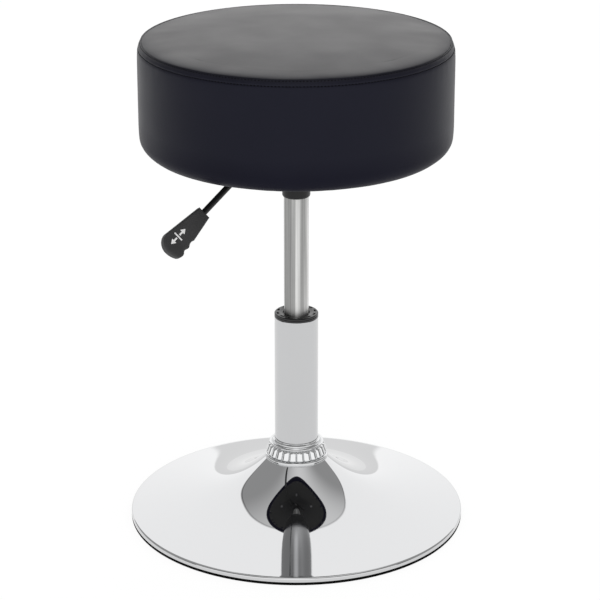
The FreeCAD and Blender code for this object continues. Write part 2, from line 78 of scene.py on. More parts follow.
# dark line round the backdrop, glow overhead with its sideways centre and spread
OUTLINE, OUTLINE_AT, OUTLINE_HALF = 0.22, 1.22, 0.08
GLOW, GLOW_SIDE, GLOW_SPREAD = 0.48, 0.12, 0.40
# widths over which the edges of the backdrop, its line, the sweep and the dark front fade
BACKDROP_SOFT, OUTLINE_SOFT, SWEEP_SOFT, DARK_SOFT, FRONT_SOFT = 0.10, 0.05, 0.006, 0.5, 0.25
FLOOR_GREY, FLOOR_GLOW = 0.16, 0.90

# lever
LEVER_AZIMUTH, LEVER_Z, LEVER_DROP = 225.0, 428 * MM, 30.0
BEND_X, HANDLE_START, HANDLE_ROLL = 91 * MM, 58 * MM, -57.0
MARK_CENTRE, MARK_LOW, MARK_HIGH = (42.0, -3.0), 5.4 * MM, 5.62 * MM

# cushion
EDGE_TOP_R, EDGE_LOW_R = 12 * MM, 18 * MM
SEAM_DEG = 50.0
CROWN = 2 * MM
RETURN_R = 138 * MM
SEAM_R = SEAT_R - EDGE_TOP_R + EDGE_TOP_R * math.cos(math.radians(SEAM_DEG))
SEAM_Z = TOP_Z - CROWN - EDGE_TOP_R + EDGE_TOP_R * math.sin(math.radians(SEAM_DEG))
ROLL_R, ROLL_POWER = 146 * MM, 3.6
STITCH_DROP = 9.2 * MM
STITCH_PITCH = 3.7 * MM
BOARD_FOLD = 24 * MM          # width of the cover that lies flat under the board

# cloth
VOXEL = 5 * MM
PRESSURE = 4.0
CLOTH_FRAMES = 20
CLOTH_CAP = 3 * MM            # furthest that the cloth may leave its start
HELD_REACH = 4.5 * MM         # the cover is held this near to its seam
BOARD_REACH = 4 * MM          # and this near to the board

# leatherette, by height in the seat from 0 at its foot to 1 at its top
LEATHER_SHADES = [(0.3, (0.0076, 0.0076, 0.0140)), (0.7, (0.0096, 0.0095, 0.0172))]
# painted shade and sheen: reflection strength by height, low at the foot where the seat is in shade, high
# on the top panel
LEATHER_GLOSS_AND_PAINTED_SHADE = [(0.0, 0.02), (0.10, 0.05), (0.30, 0.12), (0.90, 0.13), (0.955, 0.2), (0.975, 0.46)]
# painted reflection colour: cool on the sides, warm on the top panel
LEATHER_PAINTED_REFLECTION_TINT = [(0.90, (0.80, 0.84, 1.0)), (0.97, (1.0, 0.98, 0.94))]


# ---------------------------------------------------------------- mesh helpers
def mesh_object(name, verts, faces, smooth=True):
    mesh = bpy.data.meshes.new(name)
    mesh.from_pydata([tuple(v) for v in verts], [], faces)
    mesh.validate()
    mesh.update()
    obj = bpy.data.objects.new(name, mesh)
    bpy.context.scene.collection.objects.link(obj)
    if smooth:
        mesh.polygons.foreach_set("use_smooth", [True] * len(mesh.polygons))
    return obj


def lathe(name, profile, segments=192, radius_at=None, closed=True):
    """Turns (r, z) points about Z. The profile runs anticlockwise, seen with r to the right."""
    verts, faces = [], []
    n = len(profile)
    for j in range(segments):
        a = 2 * math.pi * j / segments
        for i, (r, z) in enumerate(profile):
            rr = r + (radius_at(i, a) if radius_at else 0)
            verts.append((rr * math.cos(a), rr * math.sin(a), z))
    rows = n if closed else n - 1
    for j in range(segments):
        k = (j + 1) % segments
        for i in range(rows):
            m = (i + 1) % n
            faces.append((j * n + i, k * n + i, k * n + m, j * n + m))
    return mesh_object(name, verts, faces)


def arc_points(centre, radius, start, end, count):
    turns = [math.radians(start + (end - start) * i / count) for i in range(count + 1)]
    return [(centre[0] + radius * math.cos(a), centre[1] + radius * math.sin(a)) for a in turns]


def flare_slope(r):
    return CONE_SLOPE + FLARE_SLOPE * math.exp(-(r / FLARE_WIDTH) ** 2)


def flare_z(r):
    rim = BASE_R - RIM_ROUND
    bell = FLARE_SLOPE * FLARE_WIDTH * math.sqrt(math.pi) / 2
    return RIM_Z + CONE_SLOPE * (rim - r) + bell * (math.erf(rim / FLARE_WIDTH) - math.erf(r / FLARE_WIDTH))


# ---------------------------------------------------------------- materials
def material(name, color, metallic=0.0, roughness=0.5, **sockets):
    m = bpy.data.materials.new(name)
    m.use_nodes = True
    m.diffuse_color = (*color, 1)
    shader = m.node_tree.nodes["Principled BSDF"]
    shader.inputs["Base Color"].default_value = (*color, 1)
    shader.inputs["Metallic"].default_value = metallic
    shader.inputs["Roughness"].default_value = roughness
    for key, value in sockets.items():
        shader.inputs[key.replace("_", " ")].default_value = value
    return m


def node(m, kind, **values):
    n = m.node_tree.nodes.new(kind)
    for key, value in values.items():
        if key in n.inputs:
            n.inputs[key].default_value = value
        else:
            setattr(n, key, value)
    return n


def link(m, a, b):
    m.node_tree.links.new(a, b)


def shader_of(m):
    return m.node_tree.nodes["Principled BSDF"]


def ramp(m, source, stops):
    n = m.node_tree.nodes.new("ShaderNodeValToRGB")
    while len(n.color_ramp.elements) < len(stops):
        n.color_ramp.elements.new(0.5)
    for element, (place, value) in zip(n.color_ramp.elements, stops):
        element.position = place
        element.color = (*value, 1) if isinstance(value, tuple) else (value, value, value, 1)
    link(m, source, n.inputs["Fac"])
    return n.outputs["Color"]


def coords(m, scale=(1, 1, 1)):
    place = node(m, "ShaderNodeTexCoord")
    mapping = node(m, "ShaderNodeMapping")
    mapping.inputs["Scale"].default_value = scale
    link(m, place.outputs["Object"], mapping.inputs["Vector"])
    return mapping.outputs["Vector"]


def noise_of(m, vector, scale, detail=4.0, rough=0.5):
    n = node(m, "ShaderNodeTexNoise", Scale=scale, Detail=detail, Roughness=rough)
    link(m, vector, n.inputs["Vector"])
    return n.outputs["Fac"]


def bump(m, height, strength, distance, under=None):
    n = node(m, "ShaderNodeBump", Strength=strength, Distance=distance)
    link(m, height, n.inputs["Height"])
    if under is not None:
        link(m, under, n.inputs["Normal"])
    return n.outputs["Normal"]


def vary_roughness(m, fac, low, high):
    link(m, ramp(m, fac, [(0.3, low), (0.7, high)]), shader_of(m).inputs["Roughness"])


def chrome(name, color=(0.60, 0.603, 0.61), roughness=0.02):
    """Polished plating: faint haze in patches and very slight waviness."""
    m = material(name, color, 1.0, roughness)
    haze = noise_of(m, coords(m), 14.0, 3.0)
    vary_roughness(m, haze, roughness * 0.6, roughness * 1.8)
    waves = noise_of(m, coords(m), 45.0, 2.0)
    link(m, bump(m, waves, 0.05, 0.0002), shader_of(m).inputs["Normal"])
    return m


def leatherette(name):
    """Black coated fabric: fine pebble grain and uneven gloss. Its reflection and sheen are turned down
    towards the foot as painted shade where it turns under the seat, turned up on the top panel as painted
    sheen, and tinted by height as painted reflection colour.
    """
    m = material(name, (0.0070, 0.0070, 0.0125), 0.0, 0.42, Sheen_Roughness=0.35)
    shader = shader_of(m)
    shader.inputs["Sheen Tint"].default_value = (1.0, 0.96, 0.90, 1)
    place = coords(m)
    cells = node(m, "ShaderNodeTexVoronoi", Scale=950.0, feature="SMOOTH_F1")
    link(m, place, cells.inputs["Vector"])
    creases = noise_of(m, place, 260.0, 6.0, 0.62)
    grain = bump(m, cells.outputs["Distance"], 0.22, 0.0002)
    link(m, bump(m, creases, 0.16, 0.0004, grain), shader.inputs["Normal"])
    vary_roughness(m, noise_of(m, place, 18.0, 5.0), 0.39, 0.45)
    link(m, ramp(m, noise_of(m, place, 9.0, 4.0), LEATHER_SHADES), shader.inputs["Base Color"])
    height = node(m, "ShaderNodeSeparateXYZ")
    link(m, place, height.inputs["Vector"])
    level = node(m, "ShaderNodeMapRange")
    link(m, height.outputs["Z"], level.inputs["Value"])
    level.inputs["From Min"].default_value, level.inputs["From Max"].default_value = SEAT_LOW, TOP_Z
    # painted shade and sheen: reflection turned down at the foot and up on the top
    gloss = ramp(m, level.outputs["Result"], LEATHER_GLOSS_AND_PAINTED_SHADE)
    link(m, gloss, shader.inputs["Specular IOR Level"])
    # painted reflection colour by height
    link(m, ramp(m, level.outputs["Result"], LEATHER_PAINTED_REFLECTION_TINT), shader.inputs["Specular Tint"])
    # the sheen follows the same painted shade
    sheen_with_painted_shade = node(m, "ShaderNodeMath", operation="MULTIPLY")
    link(m, gloss, sheen_with_painted_shade.inputs[0])
    sheen_with_painted_shade.inputs[1].default_value = 0.2
    link(m, sheen_with_painted_shade.outputs[0], shader.inputs["Sheen Weight"])
    return m


def moulded(name, color, roughness=0.45, grain=700.0, depth=0.00006):
    """Moulded plastic or rubber with a fine spark-eroded grain."""
    m = material(name, color, 0.0, roughness)
    place = coords(m)
    fine = noise_of(m, place, grain, 3.0, 0.7)
    link(m, bump(m, fine, 0.35, depth), shader_of(m).inputs["Normal"])
    broad = noise_of(m, place, 30.0, 4.0)
    vary_roughness(m, broad, roughness * 0.88, roughness * 1.12)
    darker = tuple(c * 0.8 for c in color)
    lighter = tuple(c * 1.2 for c in color)
    link(m, ramp(m, broad, [(0.3, darker), (0.7, lighter)]), shader_of(m).inputs["Base Color"])
    return m


def thread_material():
    # painted shade: thread made near black and matte, darker than black thread alone, standing in for the
    # shade in the stitch holes
    m = material("thread", (0.002, 0.002, 0.002), 0.0, 0.9, Specular_IOR_Level=0.05)
    place = coords(m)
    twist = noise_of(m, place, 3000.0, 2.0)
    link(m, bump(m, twist, 0.4, 0.00008), shader_of(m).inputs["Normal"])
    link(m, ramp(m, twist, [(0.3, 0.001), (0.7, 0.004)]), shader_of(m).inputs["Base Color"])
    return m


def painted(name, color=(0.012, 0.012, 0.013), roughness=0.32):
    """Powder coat: orange peel."""
    m = material(name, color, 0.0, roughness, Specular_IOR_Level=0.3, Coat_Weight=0.06, Coat_Roughness=0.25)
    place = coords(m)
    peel = noise_of(m, place, 420.0, 2.0)
    link(m, bump(m, peel, 0.3, 0.0001), shader_of(m).inputs["Normal"])
    vary_roughness(m, noise_of(m, place, 40.0, 4.0), roughness * 0.85, roughness * 1.2)
    return m


def bare_steel(name, color=(0.42, 0.42, 0.41), roughness=0.34, scale=(1, 1, 1), grain=500.0):
    m = material(name, color, 1.0, roughness)
    streaks = noise_of(m, coords(m, scale), grain, 4.0, 0.6)
    vary_roughness(m, streaks, roughness * 0.75, roughness * 1.3)
    link(m, bump(m, streaks, 0.12, 0.0001), shader_of(m).inputs["Normal"])
    blotches = noise_of(m, coords(m), 60.0, 5.0)
    low, high = tuple(c * 0.85 for c in color), tuple(min(1, c * 1.1) for c in color)
    link(m, ramp(m, blotches, [(0.3, low), (0.7, high)]), shader_of(m).inputs["Base Color"])
    return m


def ground_rod(name):
    """Ground tube: the light spreads up and down into lines. Long vertical streaks in its base colour are
    partly marks in the steel and mostly painted reflections of the studio lights.
    """
    m = material(name, (0.45, 0.45, 0.445), 1.0, 0.3, Anisotropic=0.9, Anisotropic_Rotation=0.25)
    tangent = node(m, "ShaderNodeTangent", direction_type="RADIAL", axis="Z")
    link(m, tangent.outputs["Tangent"], shader_of(m).inputs["Tangent"])
    rings = noise_of(m, coords(m, (1, 1, 60)), 60.0, 5.0, 0.7)
    vary_roughness(m, rings, 0.27, 0.34)
    link(m, bump(m, rings, 0.03, 0.00005), shader_of(m).inputs["Normal"])
    # painted reflection: dark to bright vertical streaks in the base colour stand in for the studio lights
    # seen in the steel
    painted_reflection_streaks = noise_of(m, coords(m, (1, 1, 0.01)), 230.0, 3.0, 0.55)
    streak_reflection_shades = [(0.30, (0.24, 0.24, 0.237)), (0.48, (0.38, 0.38, 0.375)), (0.66, (0.74, 0.74, 0.73))]
    link(m, ramp(m, painted_reflection_streaks, streak_reflection_shades), shader_of(m).inputs["Base Color"])
    return m


# ---------------------------------------------------------------- camera, floor, light
def make_camera():
    cam = bpy.data.cameras.new("camera")
    cam.sensor_width = 36.0
    cam.lens = CAMERA_LENS
    cam.clip_start, cam.clip_end = 0.1, 60.0
    obj = bpy.data.objects.new("camera", cam)
    obj.location = CAMERA_PLACE
    obj.rotation_euler = (math.radians(CAMERA_TILT), 0, 0)
    bpy.context.scene.collection.objects.link(obj)
    bpy.context.scene.camera = obj


def make_floor():
    half = 14.0
    corners = [(-half, -half, 0), (half, -half, 0), (half, half, 0), (-half, half, 0)]
    floor = mesh_object("floor", corners, [(0, 1, 2, 3)], smooth=False)
    m = material("floor_white", (FLOOR_GREY,) * 3, 0.0, 1.0, Specular_IOR_Level=0.0)
    shader_of(m).inputs["Emission Strength"].default_value = FLOOR_GLOW
    shader_of(m).inputs["Emission Color"].default_value = (1, 1, 1, 1)
    floor.data.materials.append(m)


def world_math(tree, operation, a, b):
    n = tree.nodes.new("ShaderNodeMath")
    n.operation = operation
    for socket, value in zip(n.inputs, (a, b)):
        if isinstance(value, (int, float)):
            socket.default_value = value
        else:
            tree.links.new(value, socket)
    return n.outputs[0]


def world_step(tree, value, edge, softness):
    """1 below the edge, 0 above it."""
    n = tree.nodes.new("ShaderNodeMapRange")
    n.interpolation_type = "SMOOTHSTEP"
    tree.links.new(value, n.inputs["Value"])
    n.inputs["From Min"].default_value = edge - softness
    n.inputs["From Max"].default_value = edge + softness
    n.inputs["To Min"].default_value = 1.0
    n.inputs["To Max"].default_value = 0.0
    return n.outputs["Result"]


def make_world():
    """White backdrop behind the stool, a glow overhead, and two soft panels in a dark room in front."""
    world = bpy.data.worlds.new("studio")
    world.use_nodes = True
    bpy.context.scene.world = world
    tree = world.node_tree
    place = tree.nodes.new("ShaderNodeTexCoord")
    split = tree.nodes.new("ShaderNodeSeparateXYZ")
    tree.links.new(place.outputs["Generated"], split.inputs["Vector"])
    x, y, z = split.outputs

    def both(a, b):
        return world_math(tree, "MULTIPLY", a, b)

    def near(value, centre, half, softness):
        off = world_math(tree, "ABSOLUTE", world_math(tree, "SUBTRACT", value, centre), 0.0)
        return world_step(tree, off, half, softness)

    def sixth(value):
        square = both(value, value)
        return both(both(square, square), square)

    behind = world_math(tree, "MAXIMUM", y, 0.0001)
    rise, side = world_math(tree, "DIVIDE", z, behind), world_math(tree, "DIVIDE", x, behind)
    across = world_math(tree, "SUBTRACT", side, (BACKDROP_RIGHT - BACKDROP_LEFT) / 2)
    across = world_math(tree, "DIVIDE", across, (BACKDROP_LEFT + BACKDROP_RIGHT) / 2)
    up = world_math(tree, "DIVIDE", rise, BACKDROP_RISE)
    outline = world_math(tree, "ADD", sixth(across), sixth(up))
    backdrop = world_step(tree, outline, 1.0, BACKDROP_SOFT)
    total = both(backdrop, BACKDROP - GREY)
    line = near(outline, OUTLINE_AT, OUTLINE_HALF, OUTLINE_SOFT)
    total = world_math(tree, "SUBTRACT", total, both(line, OUTLINE))
    sweep = both(backdrop, world_step(tree, rise, SWEEP_RISE, SWEEP_SOFT))
    total = world_math(tree, "SUBTRACT", total, both(sweep, BACKDROP - SWEEP))
    ahead = world_math(tree, "MAXIMUM", world_math(tree, "MULTIPLY", y, -1.0), 0.0001)
    front_rise, front_side = world_math(tree, "DIVIDE", z, ahead), world_math(tree, "DIVIDE", x, ahead)
    low_front = world_step(tree, front_rise, DARK_RISE, DARK_SOFT)
    dark = both(low_front, world_step(tree, y, 0.0, FRONT_SOFT))
    total = world_math(tree, "ADD", total, both(dark, DARK - GREY))
    lean = world_math(tree, "DIVIDE", x, world_math(tree, "MAXIMUM", z, 0.0001))
    glow = near(lean, GLOW_SIDE, GLOW_SPREAD, GLOW_SPREAD)
    glow = world_math(tree, "SUBTRACT", glow, both(glow, backdrop))
    glow = both(glow, world_math(tree, "SUBTRACT", 1.0, dark))
    total = world_math(tree, "ADD", total, both(glow, GLOW))
    for side_at, side_half, rise_at, rise_half, soft, strength in PANELS:
        across_panel = near(front_side, side_at, side_half, soft)
        panel = both(across_panel, near(front_rise, rise_at, rise_half, soft))
        total = world_math(tree, "ADD", total, both(panel, strength))
    total = world_math(tree, "MAXIMUM", world_math(tree, "ADD", total, GREY), 0.0)
    tree.links.new(total, tree.nodes["Background"].inputs["Strength"])
    tree.nodes["Background"].inputs["Color"].default_value = (1, 1, 1, 1)


# ---------------------------------------------------------------- chrome base
def flare_row(r, depth):
    slope = flare_slope(r)
    scale = depth / math.hypot(1, slope)
    return (r - slope * scale, flare_z(r) - scale)


def make_dish():
    edge = BASE_R - RIM_ROUND
    wall_top = flare_z(edge) - RIM_ROUND
    rows = 84
    spacing = [i / rows for i in range(rows + 1)]
    foot_r = 0.3 * MM
    outside = [flare_row(HUB_R + (edge - HUB_R) * t ** 1.25, 0) for t in spacing]
    rim = arc_points((edge, wall_top), RIM_ROUND, 82, 0, 10)
    wall = [(BASE_R, wall_top - 2 * MM), (BASE_R, TRIM_H + foot_r), (BASE_R - foot_r, TRIM_H)]
    lip = [(BASE_R - SHEET + foot_r, TRIM_H), (BASE_R - SHEET, TRIM_H + foot_r), (BASE_R - SHEET, wall_top)]
    inner_start = HUB_R + 1.6 * MM
    inside = [flare_row(inner_start + (edge - 2 * MM - inner_start) * t, SHEET) for t in spacing[::3]]
    profile = outside + rim + wall + lip + inside[::-1]
    dish = lathe("trumpet_base", profile[::-1], 320)
    dish.data.materials.append(chrome("chrome_base"))
    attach(dish, "base")
    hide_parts("base_dish")


def make_tube():
    wall, swage_low, swage_top = 1.8 * MM, 24.2 * MM, 78 * MM
    soft = 0.35 * MM
    outside = [(swage_low, TUBE_LOW), (TUBE_R, swage_top)]
    outside += [(TUBE_R, swage_top + (TUBE_TOP - 2 * soft - swage_top) * i / 6) for i in range(1, 7)]
    outside += [(TUBE_R, TUBE_TOP - soft)]
    bevel = soft * 0.3
    top = [(TUBE_R - bevel, TUBE_TOP - bevel), (TUBE_R - soft, TUBE_TOP), (TUBE_R - wall, TUBE_TOP)]
    inside = [(TUBE_R - wall, swage_top), (swage_low - wall, TUBE_LOW)]
    profile = outside + top + inside
    tube = lathe("column", profile[::-1], 192)
    tube.data.materials.append(chrome("chrome_tube", (0.56, 0.563, 0.57), 0.10))
    sharpen(tube)
    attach(tube, "base")
    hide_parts("column_tube")


def sharpen(obj, degrees=38):
    """Splits the shading at edges sharper than the angle."""
    obj.data.set_sharp_from_angle(angle=math.radians(degrees))


def make_gas_tube():
    soft = 0.8 * MM
    taper_at, taper_r, bore = 390 * MM, 12.9 * MM, 12.5 * MM
    mouth_r, mouth_low, roll_low = 9 * MM, CYL_TOP - 40.5 * MM, CYL_TOP - 44 * MM
    profile = [(bore, CYL_LOW), (CYL_R - soft, CYL_LOW), (CYL_R, CYL_LOW + soft)]
    profile += [(CYL_R, CYL_LOW + soft + (taper_at - CYL_LOW - soft) * i / 12) for i in range(1, 13)]
    profile += [(taper_r, CYL_TOP), (mouth_r, CYL_TOP), (mouth_r, mouth_low), (bore, roll_low)]
    tube = lathe("gas_tube", profile, 160)
    tube.data.materials.append(ground_rod("ground_steel"))
    sharpen(tube)
    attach(tube, "lift")
    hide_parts("gas_cylinder")


def make_collar():
    """Chromed collar: plain lower lip, leaning band of lobes, upper lip, groove and bead at the tube."""
    lip_r, lip_low, lip_high = 36.6, 69.0, 75.2
    top_r, band_top = 31.4, 87.4
    lobes, steps = 24, 22
    band_steps = 16
    low, high = (lip_r - 3.6, lip_high + 0.2), (top_r - 2.4, band_top - 0.2)
    band = [(low[0] + (high[0] - low[0]) * i / band_steps, low[1] + (high[1] - low[1]) * i / band_steps)
            for i in range(band_steps + 1)]
    lower_lip = [(lip_r - 0.9, lip_low + 1.0)] + arc_points((lip_r - 2.2, lip_low + 2.4), 2.2, -50, 0, 4)
    lower_lip += arc_points((lip_r - 2.2, lip_high - 2.2), 2.2, 0, 100, 8)
    upper_lip = arc_points((top_r - 1.3, band_top + 1.0), 1.3, -75, 105, 10)
    groove = [(top_r - 2.5, band_top + 2.0), (28.4, 88.9), (27.9, 88.5), (27.5, 88.9), (27.4, 90.2)]
    bead = arc_points((26.2, 91.4), 1.2, 0, 70, 5) + [(26.0, 93.1)]
    bead += arc_points((25.5, 93.7), 0.6, 0, 120, 5) + [(25.2, 93.4)]
    hollow = [(25.2, 83.0), (29.1, 79.0), (33.6, 72.8), (35.1, 71.0)]
    profile = lower_lip + band + upper_lip + groove + bead + hollow
    first, last = len(lower_lip), len(lower_lip) + band_steps

    def lobe_radius(i, angle):
        if not first <= i <= last:
            return 0
        t = (i - first) / (last - first)
        around = (angle * lobes / (2 * math.pi)) % 1.0
        across = math.sqrt(max(0.0, 1 - (2 * around - 1) ** 2))
        along = min(1.0, math.sqrt(max(0.0, 1 - max(0.0, 1 - t / 0.16) ** 2)),
                    math.sqrt(max(0.0, 1 - max(0.0, (t - 0.80) / 0.20) ** 2)))
        return (3.3 - 0.5 * t) * MM * across * along

    ring = lathe("collar", [(r * MM, z * MM) for r, z in profile], lobes * steps, lobe_radius)
    ring.data.materials.append(chrome("chrome_collar", (0.66, 0.665, 0.67), 0.03))
    sharpen(ring, 50)
    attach(ring, "base")
    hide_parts("collar_ring")


# ---------------------------------------------------------------- cushion
def round_point(centre, radius, a):
    """Point (r, z) at angle a on a round of the outline, and the outward direction there."""
    out = (math.cos(a), math.sin(a))
    return (centre[0] + radius * out[0], centre[1] + radius * out[1]), out


def skin_point(s):
    """Nominal (r, z) and outward normal of the band at distance s below the seam."""
    top_c = (SEAT_R - EDGE_TOP_R, TOP_Z - CROWN - EDGE_TOP_R)
    low_c = (SEAT_R - EDGE_LOW_R, SEAT_LOW + EDGE_LOW_R)
    upper = EDGE_TOP_R * math.radians(SEAM_DEG)
    side = top_c[1] - low_c[1]
    lower = EDGE_LOW_R * math.radians(90)
    if s < upper:
        return round_point(top_c, EDGE_TOP_R, math.radians(SEAM_DEG) - s / EDGE_TOP_R)
    if s < upper + side:
        return (SEAT_R, top_c[1] - (s - upper)), (1, 0)
    if s < upper + side + lower:
        return round_point(low_c, EDGE_LOW_R, -(s - upper - side) / EDGE_LOW_R)
    return (low_c[0] - (s - upper - side - lower), SEAT_LOW), (0, -1)


BAND_LENGTH = (EDGE_TOP_R * math.radians(SEAM_DEG) + (TOP_Z - CROWN - EDGE_TOP_R) - (SEAT_LOW + EDGE_LOW_R)
               + EDGE_LOW_R * math.radians(90) + (SEAT_R - EDGE_LOW_R) - RETURN_R)


def crown_z(r):
    """Height of the top panel: a shallow crown that rolls over gently into the seam."""
    roll = max(0.0, (r - ROLL_R) / (SEAM_R - ROLL_R))
    return TOP_Z - CROWN * (min(r, SEAM_R) / SEAM_R) ** 2 - (TOP_Z - CROWN - SEAM_Z) * roll ** ROLL_POWER


def cushion_proxy():
    """Closed, slightly small cushion that the cloth simulation blows up against its seam and its board."""
    small = 1.2 * MM
    profile = [(0.0, SEAT_LOW + small)]
    profile += [(RETURN_R * i / 6, SEAT_LOW + small) for i in range(1, 7)]
    steps = 40
    for i in range(steps, -1, -1):
        (r, z), (nr, nz) = skin_point((BAND_LENGTH - 1e-6) * i / steps)
        profile.append((r - small * nr, z - small * nz))
    flat = [SEAM_R * (1 - i / 12) for i in range(1, 13)]
    profile += [(r, crown_z(r) - small) for r in flat]
    return lathe("cushion_proxy", profile, 128, closed=False)


def simulate(proxy):
    """Inflates the cover as cloth and leaves the proxy in the shape that it settles to."""
    remesh = proxy.modifiers.new("remesh", "REMESH")
    remesh.mode, remesh.voxel_size = "VOXEL", VOXEL
    bpy.context.view_layer.objects.active = proxy
    bpy.ops.object.select_all(action="DESELECT")
    proxy.select_set(True)
    bpy.ops.object.modifier_apply(modifier="remesh")
    held = proxy.vertex_groups.new(name="held")
    seam = Vector((SEAM_R, SEAM_Z))
    for v in proxy.data.vertices:
        r = math.hypot(v.co.x, v.co.y)
        at_seam = (Vector((r, v.co.z)) - seam).length < HELD_REACH
        under = v.co.z < SEAT_LOW + BOARD_REACH
        if at_seam or under:
            held.add([v.index], 1.0, "REPLACE")
    start = [v.co.copy() for v in proxy.data.vertices]
    for v in proxy.data.vertices:
        v.co += v.co.normalized() * 0.5 * MM * noise.noise(v.co * 22.0)
    cloth = proxy.modifiers.new("cloth", "CLOTH")
    cloth.settings.use_pressure = True
    cloth.settings.uniform_pressure_force = PRESSURE
    cloth.settings.effector_weights.gravity = 0.0
    cloth.settings.vertex_group_mass = "held"
    cloth.settings.quality = 5
    cloth.settings.tension_stiffness = cloth.settings.compression_stiffness = 25
    cloth.settings.shear_stiffness = 12
    cloth.settings.bending_stiffness = 2.0
    cloth.collision_settings.use_collision = False
    cloth.collision_settings.use_self_collision = False
    scene = bpy.context.scene
    scene.frame_start, scene.frame_end = 1, CLOTH_FRAMES
    cloth.point_cache.frame_start, cloth.point_cache.frame_end = 1, CLOTH_FRAMES
    for f in range(1, CLOTH_FRAMES + 1):
        scene.frame_set(f)
    settled = proxy.evaluated_get(bpy.context.evaluated_depsgraph_get())
    moved = [settled.data.vertices[i].co.copy() for i in range(len(start))]
    proxy.modifiers.remove(cloth)
    scene.frame_set(1)
    for v, a, b in zip(proxy.data.vertices, start, moved):
        step = b - a
        if step.length > CLOTH_CAP:
            step *= CLOTH_CAP / step.length
        v.co = a + step


def swell_reader():
    """Function giving how far the simulated cover stands off the nominal surface at a point."""
    proxy = cushion_proxy()
    simulate(proxy)
    even = proxy.modifiers.new("even", "SMOOTH")
    even.factor, even.iterations = 0.5, 6
    proxy.modifiers.new("fine", "SUBSURF").levels = 1
    tree = BVHTree.FromObject(proxy, bpy.context.evaluated_depsgraph_get())
    bpy.data.objects.remove(proxy)
    reach = 20 * MM

    def swell(point, normal):
        hit = tree.ray_cast(point + normal * reach, -normal, 2 * reach)
        return (reach - hit[3]) if hit[0] is not None else 0.0
    return swell


def seam_pull(s):
    """Depth of the seam and of the stitched line, by distance from the seam along the cover."""
    groove = 1.5 * MM * math.exp(-((s / (1.1 * MM)) ** 2))
    line = 0.55 * MM * math.exp(-(((s - STITCH_DROP) / (1.0 * MM)) ** 2))
    return groove + line


def pucker(angle, s):
    """Small gathers that the stitches pull into the cover."""
    fade = math.exp(-abs(s - STITCH_DROP) / (9 * MM)) * min(1.0, abs(s - STITCH_DROP) / (1.5 * MM))
    wave = noise.noise(Vector((math.cos(angle) * 21, math.sin(angle) * 21, s * 60)))
    return 0.22 * MM * fade * wave


def pleat(angle, s):
    """Folds where the cover is gathered under the board."""
    start = BAND_LENGTH - 26 * MM
    if s < start:
        return 0.0
    fade = min(1.0, (s - start) / (16 * MM))
    wave = noise.noise(Vector((math.cos(angle) * 13, math.sin(angle) * 13, 3.0)))
    return 0.99 * MM * fade * abs(wave)


# angles of the band's mesh round the seat
RING_STEPS = 384
RING = [2 * math.pi * (i + 0.5) / RING_STEPS for i in range(RING_STEPS)]


def band_nominal(angle, s):
    (r, z), (nr, nz) = skin_point(max(0.0, min(s, BAND_LENGTH - 1e-6)))
    c, d = math.cos(angle), math.sin(angle)
    return Vector((r * c, r * d, z)), Vector((nr * c, nr * d, nz))


def relax(values, faces, rounds=6):
    """Evens out a value given at each corner of a mesh by averaging it with its neighbours."""
    near = [set() for _ in values]
    for face in faces:
        for i, a in enumerate(face):
            near[a].add(face[i - 1])
            near[face[i - 1]].add(a)
    for _ in range(rounds):
        values = [(v + sum(values[k] for k in n)) / (1 + len(n)) for v, n in zip(values, near)]
    return values


def band_rows():
    fine = [i * 0.4 * MM for i in range(0, 30)]
    side = [12 * MM + (BAND_LENGTH - 12 * MM) * i / 62 for i in range(63)]
    return fine + side


def make_band(swell, skin):
    """Side of the cover, with its turned-in edge at the seam and its fold under the board."""
    rows = band_rows()
    n = len(RING)
    places = [(a, s) for s in rows for a in RING]
    faces = [(i * n + j, (i + 1) * n + j, (i + 1) * n + (j + 1) % n, i * n + (j + 1) % n)
             for i in range(len(rows) - 1) for j in range(n)]
    nominal = [band_nominal(a, s) for a, s in places]
    lifts = [swell(p, out) if s < BAND_LENGTH - BOARD_FOLD else 0.0
             for (p, out), (a, s) in zip(nominal, places)]
    lifts = relax(lifts, faces)
    verts = [p + out * (lift - seam_pull(s) + pucker(a, s) + pleat(a, s))
             for (p, out), lift, (a, s) in zip(nominal, lifts, places)]
    surface = BVHTree.FromPolygons(verts, faces)
    edge = list(range(n))
    for dr, dz in [(-2.4 * MM, -2.2 * MM), (-4.0 * MM, -4.2 * MM)]:
        first = len(verts)
        verts += ring_points(SEAM_R + dr, SEAM_Z + dz, RING)
        for j in range(n):
            k = (j + 1) % n
            faces.append((edge[j], edge[k], first + k, first + j))
        edge = list(range(first, first + n))
    band = mesh_object("seat_side_band", verts, faces)
    thicken(band)
    band.data.materials.append(skin)
    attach(band, "lift")
    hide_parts("cover_side_band")
    return surface


def ring_points(r, z, angles):
    return [Vector((r * math.cos(a), r * math.sin(a), z)) for a in angles]


def thicken(obj, depth=1.1 * MM):
    shell = obj.modifiers.new("thickness", "SOLIDIFY")
    shell.thickness = depth
    shell.offset = -1
    shell.use_rim = True


def top_nominal(x, y):
    r = math.hypot(x, y)
    step = 0.1 * MM
    slope = (crown_z(r + step) - crown_z(max(0.0, r - step))) / (step + min(r, step))
    flat = Vector((x / r, y / r, 0)) if r > 1e-9 else Vector((0, 0, 0))
    return Vector((x, y, crown_z(r))), (Vector((0, 0, 1)) - flat * slope).normalized()


def top_dent(x, y):
    """Seam groove and slight unevenness of the top panel."""
    from_seam = SEAM_R - math.hypot(x, y)
    groove = 1.3 * MM * math.exp(-((from_seam / (1.1 * MM)) ** 2))
    uneven = 0.10 * MM * noise.noise(Vector((x * 40, y * 40, 1.7))) * min(1.0, from_seam / (8 * MM))
    return uneven - groove


